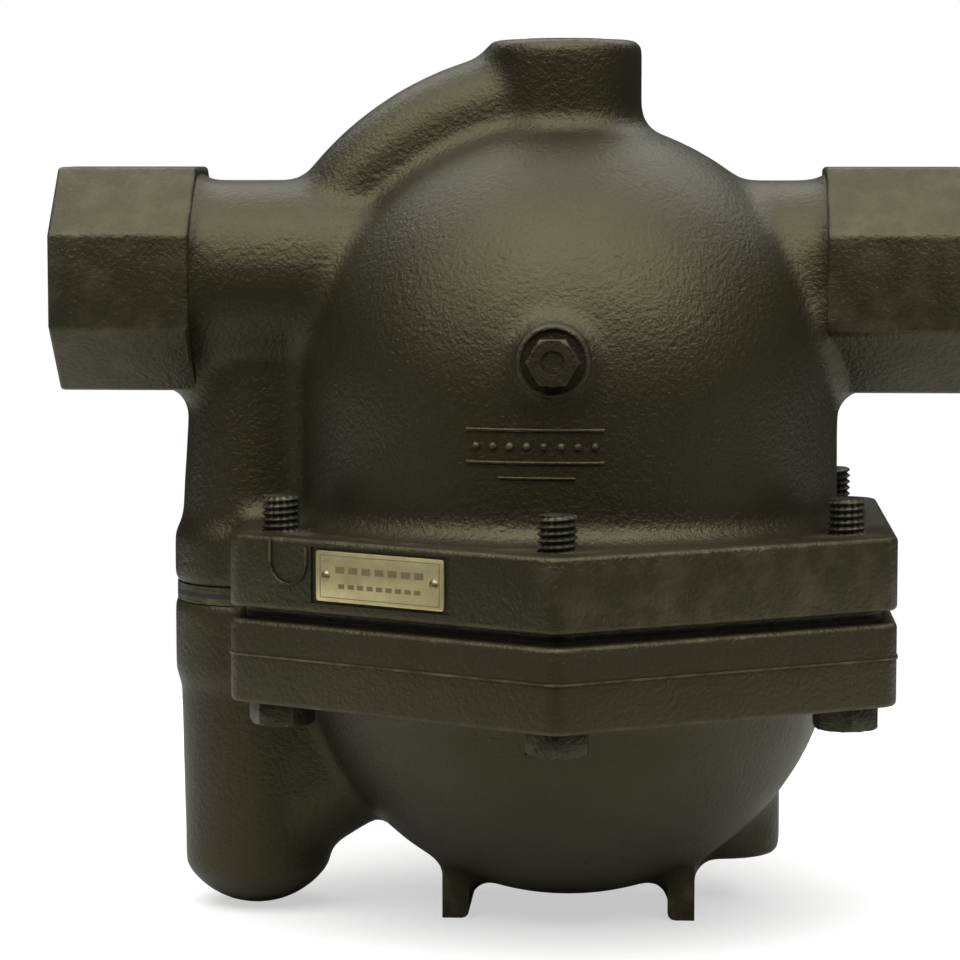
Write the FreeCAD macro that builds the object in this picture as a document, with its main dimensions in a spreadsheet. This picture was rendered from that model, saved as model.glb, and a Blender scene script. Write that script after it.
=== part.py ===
import FreeCAD, Part
import os
import re

import Sketcher

# Float and thermostatic steam trap, 1-1/2 inch NPT, with a bolted bowl. Millimetres, +Z up.
# The origin is the centre of the inlet port's face. The pipe runs along X and the outlet is at -X.
# Every piece is drawn about the float chamber, whose axis is X = 0 and Y = 0, with Z = 0 on the
# pipe's centre line. The Placement of each node then sets the chamber back from the inlet face.

SIZES = [
    # The run of pipe through the cover.
    ("inlet_reach", 131, "chamber axis to inlet face"),
    ("outlet_reach", 169.2, "chamber axis to outlet face"),
    ("port_flats", 74.2, "octagonal port, across flats"),
    ("port_length", 46.2, "length of the octagon"),
    ("port_round", 2.5, "rounding of the octagon's edges"),
    ("tap_r", 22, "tapped hole, minor radius"),
    ("tap_depth", 25, "depth of the tapped hole"),
    ("neck_r", 32.8, "neck between port and dome"),
    ("run_bore_r", 18.5, "bore behind the tap"),
    # The chamber.
    ("dome_r", 90, "outside of the dome"),
    ("dome_z", -36.6, "centre of the dome"),
    ("bowl_r", 89.9, "outside of the bowl"),
    ("bowl_z", -117.4, "centre of the bowl"),
    ("wall", 8, "casting wall"),
    # The bolted joint.
    ("flange_r", 123.9, "hexagonal flange, to its corners"),
    ("corner_round", 7, "rounding of the flange corners"),
    ("edge_round", 1.8, "rounding of the flange rims"),
    ("upper_flange", 23.7, "thickness of the cover's flange"),
    ("lower_flange", 27, "thickness of the bowl's flange"),
    ("face_step", 1.2, "height of the raised joint face"),
    ("face_margin", 6, "raised face, in from the rim"),
    ("face_seat", 1, "how far a raised face runs into its flange"),
    ("gasket", 1.5, "gasket thickness"),
    ("gasket_top", -104.3, "underside of the cover's joint face"),
    ("gasket_gap", 1.5, "gasket holes, back from the bores"),
    ("bolt_circle_r", 105, "bolt circle"),
    ("screw_r", 6.3, "1/2 inch cap screw"),
    ("screw_gap", 0.05, "radial play of a threaded piece in its hole"),
    ("bolt_play", 0.6, "radial play in the bowl's flange"),
    ("screw_proud", 11.4, "screw end above the cover's flange"),
    ("screw_lead", 1.2, "chamfer at the screw's end"),
    ("screw_flats", 19.05, "screw head, across flats"),
    ("screw_head", 8.2, "height of the screw head"),
    # The side leg.
    ("leg_x", -105.5, "axis of the side leg"),
    ("leg_top_r", 20, "leg where it leaves the neck"),
    ("leg_r", 26.2, "leg at the joint"),
    ("leg_end_r", 24.7, "leg at its foot"),
    ("leg_end_z", -213, "underside of the leg"),
    ("leg_cap_r", 29, "radius of the leg's closed end"),
    ("leg_cap_round", 9, "rounding between leg and closed end"),
    ("leg_bore_r", 16, "bore of the leg"),
    ("leg_bore_z", -183, "centre of the bore's round end"),
    ("lobe_r", 27.5, "flange lobe around the leg"),
    ("lobe_drop", 4, "lobe below the top of the flange"),
    ("lobe_margin", 0.8, "raised face, in from the lobe's rim"),
    ("web_half", 22, "half thickness of the web between leg and chamber"),
    # The vent passage.
    ("vent_x", -1.5, "axis of the top boss"),
    ("boss_r", 25.8, "top boss"),
    ("boss_top", 79.4, "top of the boss"),
    ("boss_round", 2.5, "rounding of the boss"),
    ("rib_z", -32.4, "centre of the rib's arc"),
    ("rib_arc_r", 89.5, "arc of the rib's middle"),
    ("rib_r", 20, "half width of the rib"),
    ("rib_from", 14, "rib's start on the neck, in degrees"),
    ("vent_bore_r", 7, "bore in the rib"),
    ("vent_bore_arc_r", 95.5, "arc of the bore"),
    ("vent_well_r", 11, "well under the access plug"),
    ("vent_pad_r", 14, "pad inside the dome"),
    ("vent_pad_z", 38, "face of the pad"),
    ("pad_bite", 2, "how far a pad runs into its wall"),
    ("vent_thread_r", 8, "tapped hole for the vent seat"),
    ("vent_well_z", 48, "floor of the well"),
    ("access_r", 13.2, "access plug"),
    ("access_length", 9, "length of the access plug"),
    ("access_flats", 12, "access plug's socket, across flats"),
    ("access_socket", 6, "depth of that socket"),
    ("plug_lead", 1, "chamfer at a plug's inner end"),
    # The test plug on the front of the dome.
    ("test_z", -22.2, "height of the test plug"),
    ("test_x", -1.9, "test plug off the axis"),
    ("test_boss_r", 11.5, "boss"),
    ("test_boss_y", 91.8, "face of the boss, forward of the axis"),
    ("test_plug_r", 6, "thread"),
    ("test_plug_length", 14, "length of the thread"),
    ("test_flats", 14.3, "head, across flats"),
    ("test_head", 6, "height of the head"),
    ("test_dimple_r", 3.6, "dimple in the head"),
    ("test_dimple", 0.8, "depth of the dimple"),
    # The name plate.
    ("plate_length", 48.6, "name plate"),
    ("plate_height", 16, "name plate"),
    ("plate", 0.8, "name plate thickness"),
    ("plate_shift", 3, "plate off the middle of its flat"),
    ("plate_rise", 0.6, "plate above the middle of its flange"),
    ("pocket", 1.2, "depth of the plate's pocket"),
    ("pocket_margin", 2, "pocket around the plate"),
    ("pin_pitch", 41, "between the two drive screws"),
    ("pin_r", 1.2, "drive screw shank"),
    ("pin_head_r", 2.2, "drive screw head"),
    ("pin_head", 0.7, "height of that head"),
    ("pin_length", 6, "length of the shank"),
    # Feet and drain.
    ("foot_x", 37.6, "foot ribs, off the axis"),
    ("foot_shift", 1.1, "middle of the two feet, off the axis"),
    ("foot", 9, "thickness of a foot rib"),
    ("foot_length", 46, "length of a foot rib"),
    ("foot_z", -213, "underside of the feet"),
    ("drain_x", 53.6, "drain boss"),
    ("drain_y", 20, "drain boss"),
    ("drain_boss_r", 19, "drain boss"),
    ("drain_z", -198, "underside of the drain boss"),
    ("drain_plug_r", 9.5, "drain plug"),
    ("drain_plug", 12, "length of the drain plug"),
    ("drain_bore_r", 7.5, "bore above the drain plug"),
    ("drain_flats", 9.5, "socket, across flats"),
    ("drain_socket", 7, "depth of the socket"),
    # The main seat, on a line down from the bowl's centre.
    ("seat_tilt", 32, "seat axis below the level, in degrees"),
    ("link_r", 22, "outside of the passage to the leg"),
    ("link_bore_r", 10.5, "bore of that passage"),
    ("pad_r", 28, "pad for seat and bracket"),
    ("pad_u", 68, "face of the pad, from the bowl's centre"),
    ("seat_gasket", 1, "seat gasket"),
    ("seat_r", 12, "seat thread"),
    ("seat_length", 15, "seat thread length"),
    ("drill_over", 1, "tapped holes, deeper than their screws"),
    ("seat_rim_r", 15, "seat rim"),
    ("seat_rim", 4, "thickness of the rim"),
    ("orifice_r", 6.35, "orifice"),
    ("head_r", 10, "ball of the valve head"),
    ("head_lift", 0.05, "valve head off its seat when shut"),
    ("neck_head_r", 6, "shoulder of the valve head"),
    ("stem_r", 3, "stem of the valve head"),
    ("stem_tail", 1, "stem past its nut"),
    ("nut_flats", 10, "nuts, across flats"),
    ("nut", 4, "height of the nuts"),
    # The float mechanism, about its pivot.
    ("pivot_side", 24, "pivot above the seat's axis"),
    ("pivot_u", 50, "pivot, from the bowl's centre along the seat's axis"),
    ("pin_radius", 2.5, "pivot pin"),
    ("pivot_play", 0.06, "running clearance on the pin"),
    ("pivot_length", 31, "length of the pin"),
    ("clip", 1, "snap ring thickness"),
    ("clip_r", 4.6, "snap ring"),
    ("clip_gap", 0.2, "snap ring off the cheek"),
    ("hub_r", 5, "hub of the lever"),
    ("hub_length", 20, "length of the hub"),
    ("lever", 2.5, "lever thickness"),
    ("lever_width", 16, "lever width"),
    ("lever_end", 8, "lever past the stem"),
    ("tab_height", 18, "tab that holds the float"),
    ("tab_rise", 9, "float stud above the arm's middle"),
    ("arm_length", 23, "pivot to the tab"),
    ("float_r", 48, "float"),
    ("float_skin", 0.8, "float wall"),
    ("float_gap", 0.5, "tab to the ball's surface"),
    ("collar_r", 7, "collar of the float stud"),
    ("collar_depth", 5, "collar inside the ball"),
    ("stud_r", 3, "float stud"),
    ("stud_tail", 2, "stud past its nut"),
    ("cheek", 2, "bracket plate"),
    ("cheek_gap", 1, "hub to cheek"),
    ("cheek_back", 10, "cheek behind the pivot"),
    ("cheek_front", 8, "cheek in front of the pivot"),
    ("cheek_top", 7, "cheek above the pivot"),
    ("bracket_half", 10, "half width of the bracket's foot"),
    ("bracket_reach", 27, "bracket's foot to each side"),
    ("bracket_gap", 0.5, "bracket around the seat rim"),
    ("bracket_screw_y", 21, "bracket screws, off the axis"),
    ("bracket_screw_r", 3, "bracket screws"),
    ("bracket_screw", 12, "length in the pad"),
    # The thermostatic vent.
    ("vent_gasket", 0.8, "vent seat gasket"),
    ("cage_r", 23, "cage"),
    ("cage_wall", 1, "cage wall"),
    ("cage_height", 24, "height of the cage"),
    ("cage_window", 13, "height of the cage windows"),
    ("cage_window_width", 22, "width of the cage windows"),
    ("cage_rim", 5, "rim under the windows"),
    ("vent_rim_flats", 21, "vent seat hex, across flats"),
    ("vent_rim", 3, "height of that hex"),
    ("vent_orifice_r", 2.5, "vent orifice"),
    ("capsule_gap", 0.4, "capsule in its cage"),
    ("capsule", 8, "capsule thickness at its middle"),
    ("capsule_rim", 2, "capsule thickness at its rim"),
    ("capsule_hub_r", 5, "hub on the capsule"),
    ("ring", 1.4, "snap ring under the capsule"),
    ("ring_width", 3, "width of that ring"),
    ("ring_lift", 1.2, "ring above the cage's lower edge"),
    ("vent_travel", 1.5, "travel of the vent valve"),
    ("vent_shut_gap", 0.05, "vent valve off its seat when shut"),
    ("vent_head_r", 4.4, "vent valve head"),
    ("vent_head", 2, "height of that head"),
    ("vent_stem_r", 1.5, "vent valve stem"),
    ("vent_stem", 4, "stem inside the capsule"),
]

doc = FreeCAD.newDocument("steam_trap")
sheet = doc.addObject("Spreadsheet::Sheet", "dims")
for row, (alias, value, meaning) in enumerate(SIZES, start=1):
    sheet.set(f"A{row}", alias)
    sheet.set(f"B{row}", str(value))
    sheet.setAlias(f"B{row}", alias)
    sheet.set(f"C{row}", meaning)
doc.recompute()

ALIASES = re.compile(r"\b(" + "|".join(alias for alias, _, _ in SIZES) + r")\b")

# Turns, as an axis and an angle: where a piece's own Z goes.
UPRIGHT = ("0;0;1", "0")
TO_RIGHT = ("0;1;0", "90")
TO_LEFT = ("0;1;0", "-90")
TO_BACK = ("1;0;0", "-90")
TO_FRONT = ("1;0;0", "90")
UP_THE_SEAT = ("0;1;0", "90-seat_tilt")

CENTRE = ("0", "0", "0")
CHAMBER = ("-inlet_reach", "0", "0")
BOWL_CENTRE = ("-inlet_reach", "0", "bowl_z")
PIVOT = (
    "-inlet_reach-pivot_side*sin(seat_tilt)-pivot_u*cos(seat_tilt)",
    "0",
    "bowl_z+pivot_side*cos(seat_tilt)-pivot_u*sin(seat_tilt)",
)
BOLTS = 6
SIDES = (-1, 1)

nodes = []


def sized(text):
    """An expression with each size's name pointed at its cell."""
    return ALIASES.sub(r"dims.\1", text)


def number(text):
    """The present value of an expression."""
    return float(sheet.evalExpression(ALIASES.sub(r"\1", text)))


def place(piece, at=CENTRE, turn=UPRIGHT):
    x, y, z = at
    axis, angle = turn
    where = f"placement(vector({x};{y};{z});rotation(vector({axis});{angle}))"
    piece.setExpression("Placement", sized(where))


def primitive(kind, name, at, turn, **sizes):
    piece = doc.addObject(kind, name)
    for size, text in sizes.items():
        piece.setExpression(size, sized(text))
    place(piece, at, turn)
    return piece


def cylinder(name, radius, length, at=CENTRE, turn=UPRIGHT):
    return primitive("Part::Cylinder", name, at, turn, Radius=radius, Height=length)


def cone(name, base, top, length, at=CENTRE, turn=UPRIGHT):
    return primitive("Part::Cone", name, at, turn, Radius1=base, Radius2=top, Height=length)


def ball(name, radius, at=CENTRE, lowest=-90, highest=90):
    """A ball, or the part of one between two latitudes."""
    piece = primitive("Part::Sphere", name, at, UPRIGHT, Radius=radius)
    piece.Angle1 = lowest
    piece.Angle2 = highest
    return piece


def block(name, length, width, height, at=CENTRE, turn=UPRIGHT):
    return primitive("Part::Box", name, at, turn, Length=length, Width=width, Height=height)


def prism(name, sides, flats, length, at=CENTRE, turn=UPRIGHT):
    """A regular prism given across its flats."""
    corner = f"({flats})/2/cos({180 / sides})"
    piece = primitive("Part::Prism", name, at, turn, Circumradius=corner, Height=length)
    piece.Polygon = sides
    return piece


def fuse(name, *pieces):
    whole = doc.addObject("Part::MultiFuse", name)
    whole.Shapes = list(pieces)
    return whole


def cut(name, base, *tools):
    result = doc.addObject("Part::Cut", name)
    result.Base = base
    result.Tool = tools[0] if len(tools) == 1 else fuse(f"{name}_tools", *tools)
    return result


def rounded(name, base, radius, chosen):
    """Rounds the edges of base that chosen picks."""
    doc.recompute()
    size = number(radius)
    result = doc.addObject("Part::Fillet", name)
    result.Base = base
    edges = enumerate(base.Shape.Edges, start=1)
    result.Edges = [(index, size, size) for index, edge in edges if chosen(edge)]
    return result


def level(edge):
    return edge.BoundBox.ZLength < 1e-4


def upright(edge):
    return edge.BoundBox.XLength < 1e-4 and edge.BoundBox.YLength < 1e-4


def all_edges(edge):
    return True


def sketch_on(body, name, plane, points):
    """A closed outline of straight lines, each corner held by two sizes from the origin."""
    sketch = body.newObject("Sketcher::SketchObject", name)
    planes = {feature.Role: feature for feature in body.Origin.OriginFeatures}
    sketch.AttachmentSupport = (planes[plane], [""])
    sketch.MapMode = "FlatFace"
    corners = [FreeCAD.Vector(number(x), number(y), 0) for x, y in points]
    count = len(corners)
    for i in range(count):
        sketch.addGeometry(Part.LineSegment(corners[i], corners[(i + 1) % count]), False)
    for i in range(count):
        sketch.addConstraint(Sketcher.Constraint("Coincident", i, 2, (i + 1) % count, 1))
    for i, (x, y) in enumerate(points):
        across = sketch.addConstraint(Sketcher.Constraint("DistanceX", -1, 1, i, 1, corners[i].x))
        sketch.setExpression(f"Constraints[{across}]", sized(x))
        along = sketch.addConstraint(Sketcher.Constraint("DistanceY", -1, 1, i, 1, corners[i].y))
        sketch.setExpression(f"Constraints[{along}]", sized(y))
    return sketch


def turned(name, points):
    """A body turned about its own Z from half its section, given as radius and height."""
    body = doc.addObject("PartDesign::Body", name)
    sketch = sketch_on(body, f"{name}_section", "XZ_Plane", points)
    turn = body.newObject("PartDesign::Revolution", f"{name}_turn")
    turn.Profile = sketch
    turn.ReferenceAxis = (sketch, ["V_Axis"])
    turn.Angle = 360
    body.Tip = turn
    return body


def slab(name, thickness, points):
    """A plate in the plane of the pipe and the chamber's axis, half its thickness each side."""
    body = doc.addObject("PartDesign::Body", name)
    sketch = sketch_on(body, f"{name}_outline", "XZ_Plane", points)
    pad = body.newObject("PartDesign::Pad", f"{name}_pad")
    pad.Profile = sketch
    pad.SideType = "Symmetric"
    pad.setExpression("Length", sized(thickness))
    body.Tip = pad
    return body


def node(piece, label, at=CHAMBER, turn=UPRIGHT):
    piece.Label = label
    place(piece, at, turn)
    nodes.append(piece)


def on_bolt_circle(index, height):
    angle = 360 / BOLTS * index + 180 / BOLTS
    return (f"bolt_circle_r*cos({angle})", f"bolt_circle_r*sin({angle})", height)


def down_the_seat(distance, side="0"):
    """A point on the seat's line, that far from the bowl's centre."""
    return (f"-({distance})*cos(seat_tilt)", side, f"bowl_z-({distance})*sin(seat_tilt)")


def hexagon(name, radius, thickness, base):
    """A flange plate with rounded corners, one corner to the front."""
    plate = prism(f"{name}_plate", BOLTS, f"({radius})*2*cos(30)", thickness,
                  ("0", "0", base), ("0;0;1", "30"))
    return rounded(name, plate, "corner_round", upright)


def bolt_holes(name, radius, base, length):
    return [
        cylinder(f"{name}_{i}", radius, length, on_bolt_circle(i, base))
        for i in range(BOLTS)
    ]


# ---- upper_body: the cast cover, with both ports, the dome, the vent rib and its flange ----

FLANGE_BASE = "gasket_top+face_step"
FLANGE_TOP = "gasket_top+face_step+upper_flange"

cover = [
    ball("dome", "dome_r", ("0", "0", "dome_z"), lowest=0),
    cylinder("dome_skirt", "dome_r", f"dome_z-({FLANGE_BASE})", ("0", "0", FLANGE_BASE)),
    cylinder("inlet_neck", "neck_r", "inlet_reach-port_length/2", CENTRE, TO_RIGHT),
    cylinder("outlet_neck", "neck_r", "outlet_reach-port_length/2", CENTRE, TO_LEFT),
    rounded("flange_rim", hexagon("cover_flange", "flange_r", "upper_flange", FLANGE_BASE),
            "edge_round", level),
    rounded(
        "lobe_rim",
        cylinder("cover_lobe", "lobe_r", "upper_flange-lobe_drop", ("leg_x", "0", FLANGE_BASE)),
        "edge_round", level),
    cone("cover_leg", "leg_r", "leg_top_r", f"-({FLANGE_BASE})", ("leg_x", "0", FLANGE_BASE)),
    hexagon("cover_face", "flange_r-face_margin", "face_step+face_seat", "gasket_top"),
    cylinder("lobe_face", "lobe_r-lobe_margin", "face_step+face_seat", ("leg_x", "0", "gasket_top")),
    rounded("boss_rim", cylinder("top_boss", "boss_r", "boss_top", ("vent_x", "0", "0")),
            "boss_round", level),
    cylinder("test_boss", "test_boss_r", "test_boss_y-dome_r/2", ("test_x", "-dome_r/2", "test_z"),
             TO_FRONT),
    block("cover_web", "-leg_x-dome_r/2", "2*web_half", f"-({FLANGE_BASE})",
          ("leg_x", "-web_half", FLANGE_BASE)),
]

port_at = {
    "inlet": (("inlet_reach", "0", "0"), TO_LEFT),
    "outlet": (("-outlet_reach", "0", "0"), TO_RIGHT),
}
for port, (face, inward) in port_at.items():
    octagon = prism(f"{port}_octagon", 8, "port_flats", "port_length", face, inward)
    # The octagon is turned about the pipe by half a corner so that a flat is uppermost.
    side = "-90" if inward is TO_LEFT else "90"
    turned_flat = f"rotation(vector(0;1;0);{side})*rotation(vector(0;0;1);22.5)"
    octagon.setExpression("Placement", sized(f"placement(vector({face[0]};0;0);{turned_flat})"))
    cover.append(rounded(f"{port}_port", octagon, "port_round", all_edges))

rib = primitive("Part::Torus", "vent_rib", ("0", "0", "rib_z"), TO_FRONT,
                Radius1="rib_arc_r", Radius2="rib_r", Angle3="90-rib_from")
rib_turn = "rotation(vector(1;0;0);90)*rotation(vector(0;0;1);90)"
rib.setExpression("Placement", sized(f"placement(vector(vent_x;0;rib_z);{rib_turn})"))
cover.append(rib)
cover_outside = fuse("cover_outside", *cover)

cover_room = fuse(
    "cover_room",
    ball("dome_room", "dome_r-wall", ("0", "0", "dome_z"), lowest=0),
    cylinder("skirt_room", "dome_r-wall", "dome_z-gasket_top", ("0", "0", "gasket_top")),
)
cover_shell = cut("cover_shell", cover_outside, cover_room)
vent_pad = cylinder("vent_pad", "vent_pad_r", "vent_well_z-vent_pad_z+pad_bite",
                    ("vent_x", "0", "vent_pad_z"))
cover_padded = fuse("cover_padded", cover_shell, vent_pad)

bores = [
    cylinder("inlet_bore", "run_bore_r", "inlet_reach-dome_r/2", ("dome_r/2", "0", "0"), TO_RIGHT),
    cylinder("outlet_bore", "run_bore_r", "outlet_reach+leg_x+leg_bore_r", ("-outlet_reach", "0", "0"),
             TO_RIGHT),
    cylinder("leg_bore", "leg_bore_r", "-gasket_top", ("leg_x", "0", "gasket_top")),
    cylinder("vent_well", "vent_well_r", "boss_top-vent_well_z", ("vent_x", "0", "vent_well_z")),
    cylinder("access_hole", "access_r+screw_gap", "access_length",
             ("vent_x", "0", "boss_top-access_length")),
    cylinder("vent_thread", "vent_thread_r+screw_gap", "vent_well_z-vent_pad_z",
             ("vent_x", "0", "vent_pad_z")),
    cylinder("test_hole", "test_plug_r+screw_gap", "test_boss_y-dome_r/2",
             ("test_x", "-dome_r/2", "test_z"), TO_FRONT),
]
for port, (face, inward) in port_at.items():
    bores.append(cylinder(f"{port}_tap", "tap_r", "tap_depth", face, inward))
vent_bore = primitive("Part::Torus", "vent_bore", CENTRE, UPRIGHT,
                      Radius1="vent_bore_arc_r", Radius2="vent_bore_r", Angle3="90-rib_from")
vent_bore.setExpression("Placement", sized(f"placement(vector(vent_x;0;rib_z);{rib_turn})"))
bores.append(vent_bore)
bores += bolt_holes("cover_bolt", "screw_r+screw_gap", "gasket_top", "upper_flange+face_step")

# The plate's flat is the one to the left of the front corner.
PLATE_TURN = ("0;0;1", "-30")
FLAT_Y = "flange_r*cos(30)"
PLATE_Z = f"{FLANGE_BASE}+upper_flange/2+plate_rise"


def on_plate_flat(along, depth, height):
    """A point on the plate's flat, from its middle, its depth below the surface and its height."""
    inset = f"({FLAT_Y}-({depth}))"
    return (
        f"({along})*cos(30)-{inset}*sin(30)",
        f"-({along})*sin(30)-{inset}*cos(30)",
        height,
    )


POCKET_LENGTH = "plate_length+2*pocket_margin"
POCKET_HEIGHT = "plate_height+pocket_margin"
pocket = block("plate_pocket", POCKET_LENGTH, "pocket", POCKET_HEIGHT,
               on_plate_flat(f"-plate_shift-({POCKET_LENGTH})/2", "0", f"{PLATE_Z}-({POCKET_HEIGHT})/2"),
               PLATE_TURN)
bores.append(pocket)
PIN_TO_BACK = "rotation(vector(0;0;1);-30)*rotation(vector(1;0;0);-90)"


def plate_pin(name, radius, length, side, depth):
    """A round piece square to the plate's flat, running in from that depth."""
    x, y, z = on_plate_flat(f"-plate_shift+({side})*pin_pitch/2", depth, PLATE_Z)
    piece = cylinder(name, radius, length)
    piece.setExpression("Placement", sized(f"placement(vector({x};{y};{z});{PIN_TO_BACK})"))
    return piece


for side in SIDES:
    bores.append(plate_pin(f"pin_hole_{side + 1}", "pin_r", "pin_length", side, "pocket-plate"))
node(cut("upper_body", cover_padded, *bores), "upper_body")

# ---- lower_bowl: the cast bowl, with its flange, the lower half of the side leg and the feet ----

FACE_TOP = "gasket_top-gasket"
BOWL_FLANGE_TOP = f"{FACE_TOP}-face_step"
BOWL_FLANGE_BASE = f"{BOWL_FLANGE_TOP}-lower_flange"
LEG_LENGTH = f"{BOWL_FLANGE_TOP}-leg_end_z"

leg_stick = cone("bowl_leg_stick", "leg_end_r", "leg_r", LEG_LENGTH, ("leg_x", "0", "leg_end_z"))
leg_round = fuse(
    "leg_round",
    ball("leg_cap", "leg_cap_r", ("leg_x", "0", "leg_end_z+leg_cap_r")),
    cylinder("leg_above_cap", "leg_cap_r", f"{LEG_LENGTH}-leg_cap_r",
             ("leg_x", "0", "leg_end_z+leg_cap_r")),
)
bowl_leg = doc.addObject("Part::Common", "bowl_leg")
bowl_leg.Base = leg_stick
bowl_leg.Tool = leg_round
leg_cap_top = number("leg_end_z") + number("leg_cap_r")
LINK_END = "-leg_x/cos(seat_tilt)"
WEB_INNER = "-bowl_r/2"
bowl_web = slab("bowl_web", "2*web_half", [
    ("leg_x", BOWL_FLANGE_BASE),
    (WEB_INNER, BOWL_FLANGE_BASE),
    (WEB_INNER, f"bowl_z+({WEB_INNER})*tan(seat_tilt)"),
    ("leg_x", "bowl_z+leg_x*tan(seat_tilt)"),
])


def cap_edge(edge):
    return level(edge) and edge.BoundBox.ZMax < leg_cap_top


bowl_outside = fuse(
    "bowl_outside",
    ball("bowl", "bowl_r", ("0", "0", "bowl_z"), highest=0),
    cylinder("bowl_skirt", "bowl_r", f"{BOWL_FLANGE_TOP}-bowl_z", ("0", "0", "bowl_z")),
    rounded("bowl_rim", hexagon("bowl_flange", "flange_r", "lower_flange", BOWL_FLANGE_BASE),
            "edge_round", level),
    cylinder("bowl_lobe", "lobe_r", "lower_flange", ("leg_x", "0", BOWL_FLANGE_BASE)),
    hexagon("bowl_face", "flange_r-face_margin", "face_step+face_seat", f"{BOWL_FLANGE_TOP}-face_seat"),
    cylinder("bowl_lobe_face", "lobe_r-lobe_margin", "face_step+face_seat",
             ("leg_x", "0", f"{BOWL_FLANGE_TOP}-face_seat")),
    rounded("leg_end", bowl_leg, "leg_cap_round", cap_edge),
    cylinder("link", "link_r", f"{LINK_END}-pad_u", down_the_seat(LINK_END), UP_THE_SEAT),
    bowl_web,
    cylinder("drain_boss", "drain_boss_r", "bowl_r/2", ("drain_x", "drain_y", "drain_z")),
    *[
        block(f"foot_{side + 1}", "foot", "foot_length", "bowl_r/2",
              (f"foot_shift+({side})*foot_x-foot/2", "-foot_length/2", "foot_z"))
        for side in SIDES
    ],
)
bowl_room = fuse(
    "bowl_room",
    ball("bowl_hollow", "bowl_r-wall", ("0", "0", "bowl_z"), highest=0),
    cylinder("bowl_mouth", "bowl_r-wall", f"{FACE_TOP}-bowl_z", ("0", "0", "bowl_z")),
)
bowl_shell = cut("bowl_shell", bowl_outside, bowl_room)
seat_pad = cylinder("seat_pad", "pad_r", "bowl_r-pad_u-wall/2", down_the_seat("bowl_r-wall/2"), UP_THE_SEAT)
bowl_padded = fuse("bowl_padded", bowl_shell, seat_pad)
bowl_bores = [
    cylinder("bowl_leg_bore", "leg_bore_r", f"{FACE_TOP}-leg_bore_z", ("leg_x", "0", "leg_bore_z")),
    ball("leg_bore_end", "leg_bore_r", ("leg_x", "0", "leg_bore_z")),
    cylinder("link_bore", "link_bore_r", f"{LINK_END}-pad_u", down_the_seat(LINK_END), UP_THE_SEAT),
    cylinder("seat_hole", "seat_r+screw_gap", "seat_length+drill_over",
             down_the_seat("pad_u+seat_length+drill_over"), UP_THE_SEAT),
    cylinder("drain_bore", "drain_bore_r", "bowl_r/2", ("drain_x", "drain_y", "drain_z")),
    cylinder("drain_hole", "drain_plug_r+screw_gap", "drain_plug", ("drain_x", "drain_y", "drain_z")),
    *[
        cylinder(f"bracket_hole_{side + 1}", "bracket_screw_r+screw_gap", "bracket_screw+drill_over",
                 down_the_seat("pad_u+bracket_screw+drill_over", f"({side})*bracket_screw_y"),
                 UP_THE_SEAT)
        for side in SIDES
    ],
    *bolt_holes("bowl_bolt", "screw_r+bolt_play", BOWL_FLANGE_BASE, "lower_flange+face_step"),
]
node(cut("lower_bowl", bowl_padded, *bowl_bores), "lower_bowl")

# ---- body_gasket: one sheet between the joint faces ----

gasket_sheet = fuse(
    "gasket_sheet",
    hexagon("gasket_hexagon", "flange_r-face_margin", "gasket", FACE_TOP),
    cylinder("gasket_lobe", "lobe_r-lobe_margin", "gasket", ("leg_x", "0", FACE_TOP)),
)
gasket_holes = [
    cylinder("gasket_mouth", "dome_r-wall+gasket_gap", "gasket", ("0", "0", FACE_TOP)),
    cylinder("gasket_leg", "leg_bore_r+gasket_gap", "gasket", ("leg_x", "0", FACE_TOP)),
    *bolt_holes("gasket_bolt", "screw_r+bolt_play", FACE_TOP, "gasket"),
]
node(cut("body_gasket", gasket_sheet, *gasket_holes), "body_gasket")

# ---- cap_screws: six, put in from below ----

# Each head stops at its own angle once it is tight.
HEAD_TURNS = (10, 25, 5, -6, 29, -20)
SCREW_BASE = BOWL_FLANGE_BASE
SCREW_LENGTH = f"({FLANGE_TOP})-({BOWL_FLANGE_BASE})+screw_proud"
screws = []
for i in range(BOLTS):
    screws.append(
        fuse(
            f"screw_{i}",
            cylinder(f"screw_shank_{i}", "screw_r", f"{SCREW_LENGTH}-screw_lead",
                     on_bolt_circle(i, SCREW_BASE)),
            cone(f"screw_end_{i}", "screw_r", "screw_r-screw_lead", "screw_lead",
                 on_bolt_circle(i, f"{FLANGE_TOP}+screw_proud-screw_lead")),
            prism(f"screw_head_{i}", 6, "screw_flats", "screw_head",
                  on_bolt_circle(i, f"{SCREW_BASE}-screw_head"), ("0;0;1", f"{HEAD_TURNS[i]}")),
        )
    )
node(fuse("cap_screws", *screws), "cap_screws")

# ---- test_plug: a hex head pipe plug, drawn head up and turned to the front ----

test_body = turned("test_plug_body", [
    ("0", "-test_plug_length"),
    ("test_plug_r-plug_lead", "-test_plug_length"),
    ("test_plug_r", "plug_lead-test_plug_length"),
    ("test_plug_r", "0"),
    ("test_flats/2", "0"),
    ("test_flats/2", "test_head-test_dimple"),
    ("0", "test_head-test_dimple"),
])
test_head = cut(
    "test_head",
    prism("test_hex", 6, "test_flats", "test_head"),
    cylinder("test_dimple_cut", "test_dimple_r", "test_dimple", ("0", "0", "test_head-test_dimple")),
)
node(fuse("test_plug", test_body, test_head), "test_plug",
     ("test_x-inlet_reach", "-test_boss_y", "test_z"), TO_FRONT)


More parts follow.
